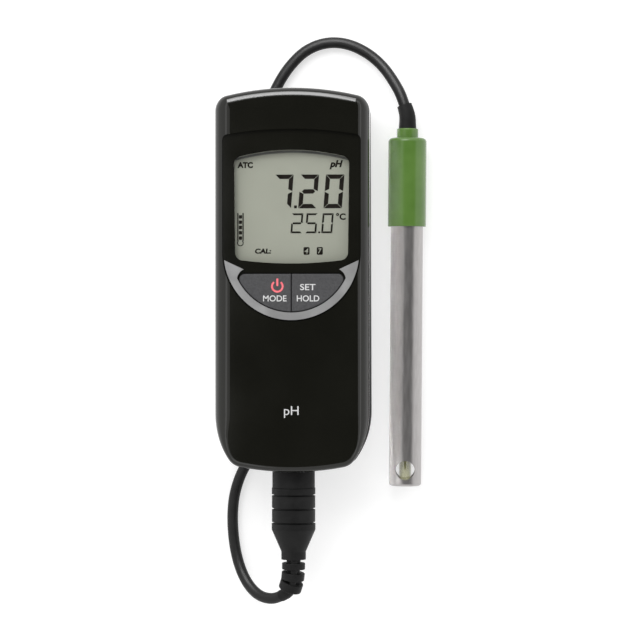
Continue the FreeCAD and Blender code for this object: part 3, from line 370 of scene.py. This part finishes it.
def letters(name, words, left, low, right, high, height, material, body, slot, weight=0.0, slant=0.0):
    """Lettering fitted to a box in millimetres from the case's centre."""
    data = bpy.data.curves.new(name, "FONT")
    data.body = words
    data.offset = weight
    data.shear = slant
    data.resolution_u = 4
    text = bpy.data.objects.new(name, data)
    bpy.context.scene.collection.objects.link(text)
    bpy.context.view_layer.update()
    mesh = bpy.data.meshes.new_from_object(text)
    bpy.data.objects.remove(text)
    xs = [v.co.x for v in mesh.vertices]
    ys = [v.co.y for v in mesh.vertices]
    across = (right - left) / (max(xs) - min(xs))
    up = (high - low) / (max(ys) - min(ys))
    for vertex in mesh.vertices:
        x = left + (vertex.co.x - min(xs)) * across
        y = low + (vertex.co.y - min(ys)) * up
        vertex.co = case(x, y, height)
    piece = add_mesh(name, mesh, material)
    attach(piece, body)


PRINT = 0.03  # how far print stands off what is under it, in millimetres
LEAN = 0.077  # how far the display's figures lean to the right, per height
LIT = {"0": "abcdef", "2": "abged", "5": "afgcd", "7": "abc"}  # lit bars, lettered as usual from the top


def digit(figure, left, low, right, high, stroke):
    """The lit bars of one seven-bar figure, mitred where they meet."""
    tall = high - low
    wide = right - left - LEAN * tall
    half, mid, gap = stroke / 2, tall / 2, stroke * 0.06

    def bar(long_start, long_end, short_end, short_start, place):
        corners = [
            (long_start + gap, 0), (long_end - gap, 0), (short_end - gap, stroke), (short_start + gap, stroke)
        ]
        return [place(along, depth) for along, depth in corners]

    level = bar(0, wide, wide - stroke, stroke, lambda along, depth: (along, depth))
    rise = bar(mid, tall, tall - stroke, mid + half, lambda along, depth: (depth, along))
    bars = {
        "d": level, "a": [(x, tall - y) for x, y in level],
        "f": rise, "b": [(wide - x, y) for x, y in rise],
        "e": [(x, tall - y) for x, y in rise], "c": [(wide - x, tall - y) for x, y in rise],
        "g": [(half + gap, mid), (stroke + gap, mid + half), (wide - stroke - gap, mid + half),
              (wide - half - gap, mid), (wide - stroke - gap, mid - half), (stroke + gap, mid - half)],
    }
    return [[(left + x + LEAN * y, low + y) for x, y in bars[name]] for name in LIT[figure]]


def figures(low, high, stroke, places):
    """The lit bars of a row of figures, each with its left and right edge."""
    bars = []
    for figure, left, right in places:
        bars += digit(figure, left, low, right, high, stroke)
    return bars


def ring(x, y, outer, inner, start, end, steps):
    """Four-sided pieces of a ring between two angles in degrees."""
    loops = []
    for i in range(steps):
        a, b = (math.radians(start + (end - start) * k / steps) for k in (i, i + 1))
        corners = [(outer, a), (outer, b), (inner, b), (inner, a)]
        loops.append([(x + radius * math.cos(t), y + radius * math.sin(t)) for radius, t in corners])
    return loops


def round_box(left, low, right, high, corner):
    """The outline of a box with round corners, with five points in each."""
    centres = [
        (right - corner, high - corner), (left + corner, high - corner), (left + corner, low + corner),
        (right - corner, low + corner),
    ]
    points = []
    for quarter, (x, y) in enumerate(centres):
        for i in range(5):
            angle = math.radians(90 * quarter + 22.5 * i)
            points.append((x + corner * math.cos(angle), y + corner * math.sin(angle)))
    return points


def electrode_sign():
    """A small electrode: two walls, a column of squares and a bulb."""
    pitch = 2.13
    walls = [round_box(left, 15.7, left + 0.5, 26.9, 0.1) for left in (-22.0, -19.9)]
    squares = [round_box(-21.35, 16.1 + pitch * i, -20.05, 17.5 + pitch * i, 0.15) for i in range(5)]
    return walls + squares + ring(-20.75, 14.85, 1.35, 0.95, 130, 410, 20)


def arch_shade():
    """A narrow strip of shade along the window's arched top edge."""
    radius, centre_y, half_width, depth, steps = 85, -33.1, 22.6, 0.9, 8
    strip = []
    for i in range(-steps, steps):
        a, b = (math.asin(half_width / radius * k / steps) for k in (i, i + 1))
        corners = [(a, 0), (b, 0), (b, depth), (a, depth)]
        strip.append([(radius * math.sin(t), radius * math.cos(t) + centre_y - drop) for t, drop in corners])
    return strip


def top(node):
    """The height of a node's highest point, in millimetres."""
    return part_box(node)[1][2] / MM


def display_content():
    """What the display shows: reading, temperature, electrode sign and calibration points."""
    level = top("display_cell") + PRINT
    ink = {"height": level, "material": SEGMENT, "body": "meter", "slot": "display_glass"}
    big = figures(28.7, 42.25, 1.75, [("7", -7.7, 0.7), ("2", 2.5, 10.9), ("0", 12.65, 21.1)])
    flat("reading", big + [round_box(0.85, 28.7, 2.0, 29.9, 0.2)], **ink)
    small = figures(18.7, 26.7, 0.75, [("2", -0.6, 4.6), ("5", 5.3, 10.4), ("0", 11.75, 16.8)])
    flat("temperature", small + [round_box(10.55, 18.7, 11.35, 19.4, 0.15)], **ink)
    letters("unit_ph", "pH", 15.1, 44.3, 20.5, 48.0, weight=0.05, slant=0.25, **ink)
    letters("unit_degrees", "°C", 17.7, 24.0, 21.6, 26.8, weight=0.04, **ink)
    letters("compensation", "ATC", -21.95, 44.9, -15.7, 47.35, weight=0.055, **ink)
    letters("calibration", "CAL:", -14.9, 10.5, -8.3, 12.6, weight=0.05, slant=0.1, **ink)
    flat("electrode_sign", electrode_sign(), **ink)
    tiles = [round_box(left, 10.05, left + 2.45, 13.15, 0.5) for left in (4.65, 9.98)]
    flat("calibration_tiles", tiles, **ink)
    pale = dict(ink, height=level + PRINT, material=SCREEN)
    letters("calibration_low", "4", 5.1, 10.6, 6.6, 12.6, weight=0.01, slant=0.2, **pale)
    letters("calibration_mid", "7", 10.5, 10.6, 11.9, 12.6, weight=0.01, slant=0.2, **pale)
    # Painted shade: a grey strip on the display where the window's arched edge casts its shadow
    flat("display_top_shade", arch_shade(), level + 2 * PRINT, SHADE, "meter", "display_glass")


def legends():
    """Print on the keys and the face."""
    for key, text, left, low, right, high in (
        ("mode_key", "MODE", -11.3, -8.7, -1.9, -6.25),
        ("set_hold_key", "SET", 3.5, -4.2, 9.7, -1.7),
        ("set_hold_key", "HOLD", 2.2, -8.7, 11.2, -6.25),
    ):
        letters(
            "legend_" + text.lower(), text, left, low, right, high, top(key) + PRINT, WHITE_INK, key,
            "key_rubber", weight=0.012,
        )
    stem = round_box(-6.0, -2.55, -5.2, 0.5, 0.35)
    power = ring(-5.6, -2.65, 2.5, 1.75, 130, 410, 28) + [stem]
    flat("power_sign", power, top("mode_key") + PRINT, RED_INK, "mode_key", "key_rubber")
    letters("face_ph", "pH", -2.9, -55.2, 2.95, -50.5, FACE + PRINT, WHITE_INK, "meter", "front_shell")


display_content()
legends()

# ---------------------------------------------------------------- stage and light

# In this section places and sizes are in metres.
FLOOR_HALF = 3
FLOOR_GAP = 0.0002  # between the floor and the object


def floor():
    """A pale floor that is slightly luminous, so the object's shadow stays soft."""
    mesh = bpy.data.meshes.new("floor")
    corners = [(x * FLOOR_HALF, y * FLOOR_HALF, 0) for x, y in ((-1, -1), (1, -1), (1, 1), (-1, 1))]
    mesh.from_pydata(corners, [], [(0, 1, 2, 3)])
    lit = {"Emission Color": (1, 1, 1, 1), "Emission Strength": 0.6}
    panel = surface("floor_panel", (grey(0.50), grey(0.52)), 60, (0.7, 0.8), 0.01, 2.0, **lit)
    piece = add_mesh("floor", mesh, panel)
    piece.location.z = -FLOOR_GAP


def area_light(name, location, size, power, target=(0.0, 0.0, 0.02), glossy_only=False, only_on=()):
    """A flat light; with only_on it lights and is shaded by those pieces alone."""
    data = bpy.data.lights.new(name, "AREA")
    data.shape = "RECTANGLE"
    data.size, data.size_y = size
    data.energy = power
    light = bpy.data.objects.new(name, data)
    light.location = location
    aim = Vector(target) - Vector(location)
    light.rotation_euler = aim.to_track_quat("-Z", "Y").to_euler()
    light.visible_diffuse = not glossy_only
    bpy.context.scene.collection.objects.link(light)
    if only_on:
        pieces = bpy.data.collections.new(name + "_pieces")
        for piece in only_on:
            pieces.objects.link(bpy.data.objects[piece])
        light.light_linking.receiver_collection = pieces
        light.light_linking.blocker_collection = pieces
        # Reflected rays can be stopped by a piece that doesn't shade this light, so a card goes without them.
        data.cycles.use_multiple_importance_sampling = glossy_only


def studio():
    """A white room with a dark patch in its ceiling, turned towards the electrode's side."""
    patch_turn = math.radians(13)
    patch_half = (0.68, 0.27, 1)
    dark, white = 0.06, 1.0
    dark_to, white_from = 0.84, 1.0
    world = bpy.data.worlds.new("studio")
    world.use_nodes = True
    tree = world.node_tree
    where = tree.nodes.new("ShaderNodeTexCoord")
    patch = tree.nodes.new("ShaderNodeMapping")
    patch.vector_type = "TEXTURE"
    patch.inputs["Rotation"].default_value = (0, patch_turn, 0)
    patch.inputs["Scale"].default_value = patch_half
    tree.links.new(where.outputs["Generated"], patch.inputs["Vector"])
    sizes = tree.nodes.new("ShaderNodeVectorMath")
    sizes.operation = "ABSOLUTE"
    tree.links.new(patch.outputs["Vector"], sizes.inputs[0])
    split = tree.nodes.new("ShaderNodeSeparateXYZ")
    tree.links.new(sizes.outputs["Vector"], split.inputs["Vector"])
    reach = tree.nodes.new("ShaderNodeMath")
    reach.operation = "MAXIMUM"
    tree.links.new(split.outputs["X"], reach.inputs[0])
    tree.links.new(split.outputs["Y"], reach.inputs[1])
    ramp = tree.nodes.new("ShaderNodeValToRGB")
    ramp.color_ramp.interpolation = "EASE"
    for element, place, level in zip(ramp.color_ramp.elements, (dark_to, white_from), (dark, white)):
        element.position = place
        element.color = (*grey(level), 1)
    tree.links.new(reach.outputs["Value"], ramp.inputs["Fac"])
    background = tree.nodes["Background"]
    tree.links.new(ramp.outputs["Color"], background.inputs["Color"])
    background.inputs["Strength"].default_value = 1.08
    bpy.context.scene.world = world
    bpy.context.scene.view_settings.view_transform = "Standard"


def lights():
    """A soft key light, gloss along the case's edges and on the lead, and a card beside the electrode."""
    for name, power, piece in (("top_strip", 9, "front_case"), ("lead_strip", 13, "lead")):
        area_light(name, (0.0, 0.62, 0.62), (0.5, 0.66), power, glossy_only=True, only_on=(piece,))
    for name, x, width, power in (
        ("left_ceiling", CASE_X - 0.42, 0.62, 2.5), ("right_ceiling", CASE_X + 1.08, 0.82, 4.6)
    ):
        area_light(
            name, (x, 0.0, 0.9), (width, 1.6), power, target=(x, 0.0, 0.0), glossy_only=True,
            only_on=("front_case",),
        )
    area_light(
        "electrode_card", (-0.42, 0.0, -0.03), (0.9, 1.1), 2.7, target=(0.04, 0.0, -0.03),
        only_on=("probe_tube", "probe_cap", "cable_boot"),
    )
    area_light("soft_key", (-0.25, 0.7, 0.9), (0.8, 0.6), 7)


floor()
studio()
lights()
